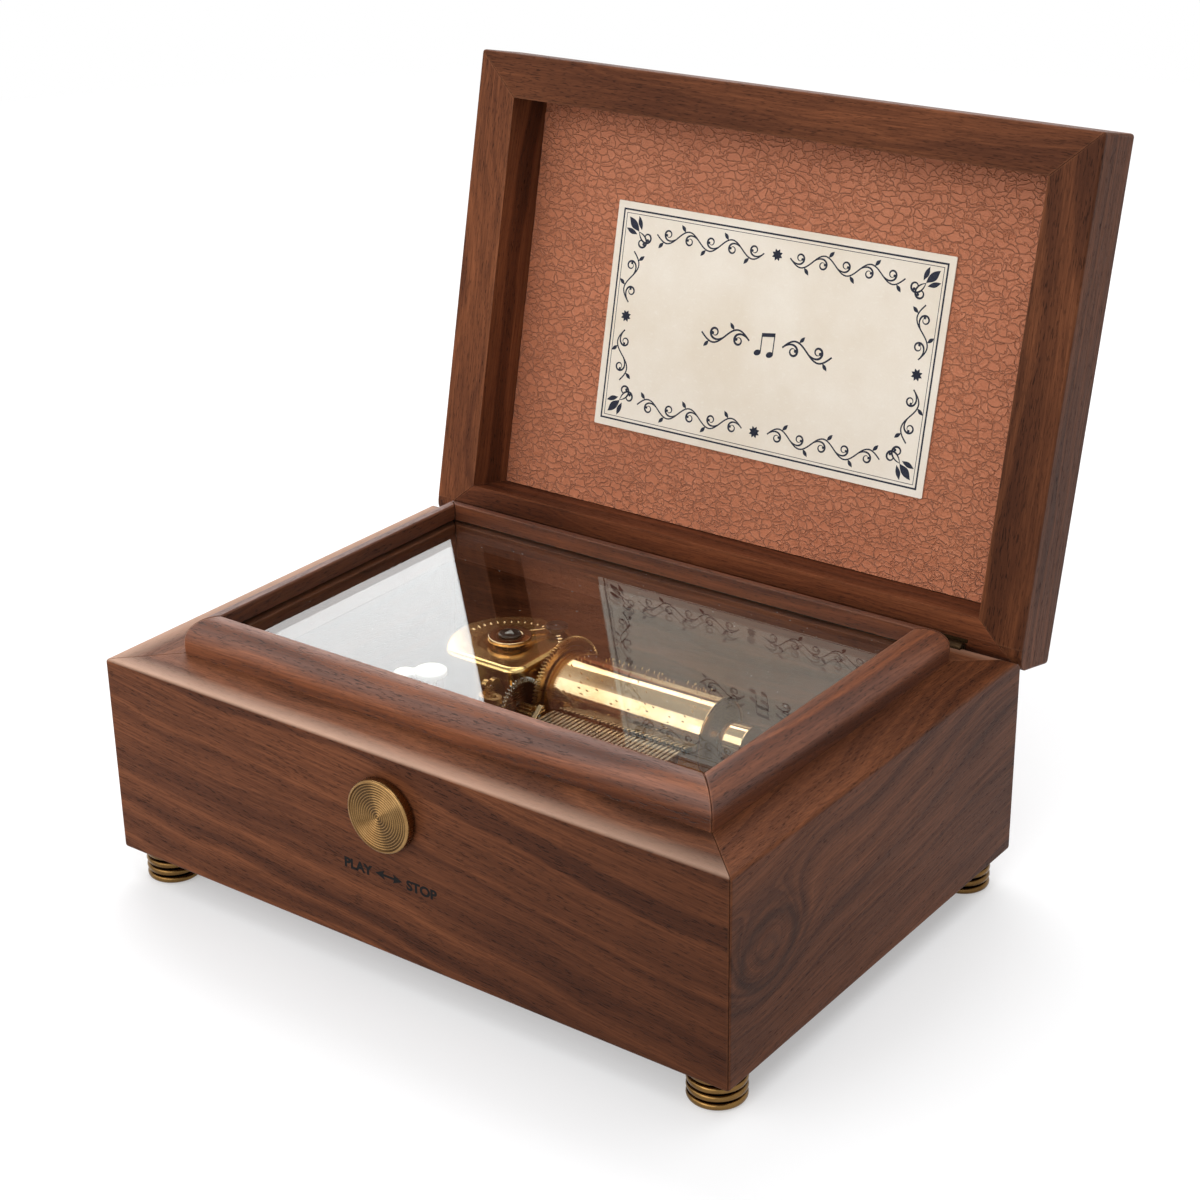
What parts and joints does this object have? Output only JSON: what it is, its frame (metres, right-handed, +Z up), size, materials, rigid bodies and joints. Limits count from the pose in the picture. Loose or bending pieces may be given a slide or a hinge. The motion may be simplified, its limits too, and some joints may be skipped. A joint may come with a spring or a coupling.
{
  "type": "wind up music box",
  "caption": "Mitred wooden music box with hinged lid, glazed inner rim, pinned cylinder and comb movement, stop knob and winding key underneath.",
  "frame": {"origin": "on the table under the middle of the object's box as it stands with the lid open", "axes": "+X to the right along the hinge line, +Y from the knob side to the hinge side, +Z up from the table"},
  "size_m": [0.165, 0.1555, 0.1655],
  "materials": {
    "walnut": "satin lacquer over open grain",
    "clear_glass": "clear, polished",
    "rust_leather": "fine wrinkled grain",
    "card": "matt printed card",
    "brass": "turned, satin",
    "polished_brass": "polished",
    "steel": "bright",
    "dark_steel": "blued",
    "fly_alloy": "satin sheet",
    "white_cap": "satin moulding"
  },
  "bodies": {
    "case": {"case_front_board": "walnut", "case_back_board": "walnut", "case_left_board": "walnut", "case_right_board": "walnut", "rim_front": "walnut", "rim_back": "walnut", "rim_left": "walnut", "rim_right": "walnut", "base_board": "walnut", "glass_pane": "clear_glass", "foot_front_left": "brass", "foot_front_right": "brass", "foot_back_left": "brass", "foot_back_right": "brass", "hinge_left_case_leaf": "brass", "hinge_left_pin": "steel", "hinge_right_case_leaf": "brass", "hinge_right_pin": "steel", "bedplate": "brass", "spring_cover": "polished_brass", "spring_post": "dark_steel", "clutch_spring": "polished_brass", "right_bearing": "polished_brass", "arbor_cock": "polished_brass", "governor_plate": "brass", "regulator_cap": "white_cap", "comb": "steel", "comb_base": "brass"},
    "lid": {"lid_rail_front": "walnut", "lid_rail_back": "walnut", "lid_rail_left": "walnut", "lid_rail_right": "walnut", "lid_top_panel": "walnut", "lid_lining": "rust_leather", "lid_card": "card", "hinge_left_lid_leaf": "brass", "hinge_right_lid_leaf": "brass"},
    "knob": {"stop_knob": "brass", "stop_knob_shaft": "steel", "stop_finger": "steel"},
    "key": {"winding_key": "brass", "winding_arbor": "steel", "winding_collar": "polished_brass", "arbor_cap": "dark_steel"},
    "barrel": {"spring_barrel": "brass", "crown_wheel": "brass", "mainspring": "dark_steel"},
    "cylinder": {"cylinder_tube": "polished_brass", "cylinder_cap_left": "brass", "cylinder_cap_right": "brass", "cylinder_arbor": "steel", "great_wheel": "brass"},
    "second_arbor": {"second_arbor": "steel", "second_pinion": "brass", "worm_wheel": "steel"},
    "governor": {"worm_shaft": "steel", "fly": "fly_alloy"}
  },
  "joints": [
    {"name": "lid_hinge", "type": "hinge", "parent": "case", "child": "lid", "pos_m": [0, 0.03756, 0.05435], "axis": [1, 0, 0], "range_deg": [0, 102.4]},
    {"name": "stop_knob_turn", "type": "hinge", "parent": "case", "child": "knob", "pos_m": [-0.0016, -0.07514, 0.0419], "axis": [0, 1, 0], "range_deg": [0, 40]},
    {"name": "winding_key_turn", "type": "hinge", "parent": "case", "child": "key", "pos_m": [-0.026, -0.00314, 0.008], "axis": [0, 0, 1], "range_deg": [0, 2160]},
    {"name": "cylinder_spin", "type": "hinge", "parent": "case", "child": "cylinder", "pos_m": [0.012, -0.00314, 0.0368], "axis": [-1, 0, 0], "continuous": true},
    {"name": "barrel_spin", "type": "hinge", "parent": "case", "child": "barrel", "pos_m": [-0.026, -0.00314, 0.02], "axis": [0, 0, 1], "continuous": true},
    {"name": "second_arbor_spin", "type": "hinge", "parent": "case", "child": "second_arbor", "pos_m": [-0.0122, -0.01748, 0.03642], "axis": [1, 0, 0], "continuous": true},
    {"name": "governor_spin", "type": "hinge", "parent": "case", "child": "governor", "pos_m": [-0.0122, -0.02658, 0.03642], "axis": [0, 0, 1], "continuous": true}
  ],
  "couplings": [
    {"joint": "barrel_spin", "follows": "cylinder_spin", "ratio": -0.76923},
    {"joint": "second_arbor_spin", "follows": "cylinder_spin", "ratio": 6},
    {"joint": "governor_spin", "follows": "cylinder_spin", "ratio": 150}
  ]
}
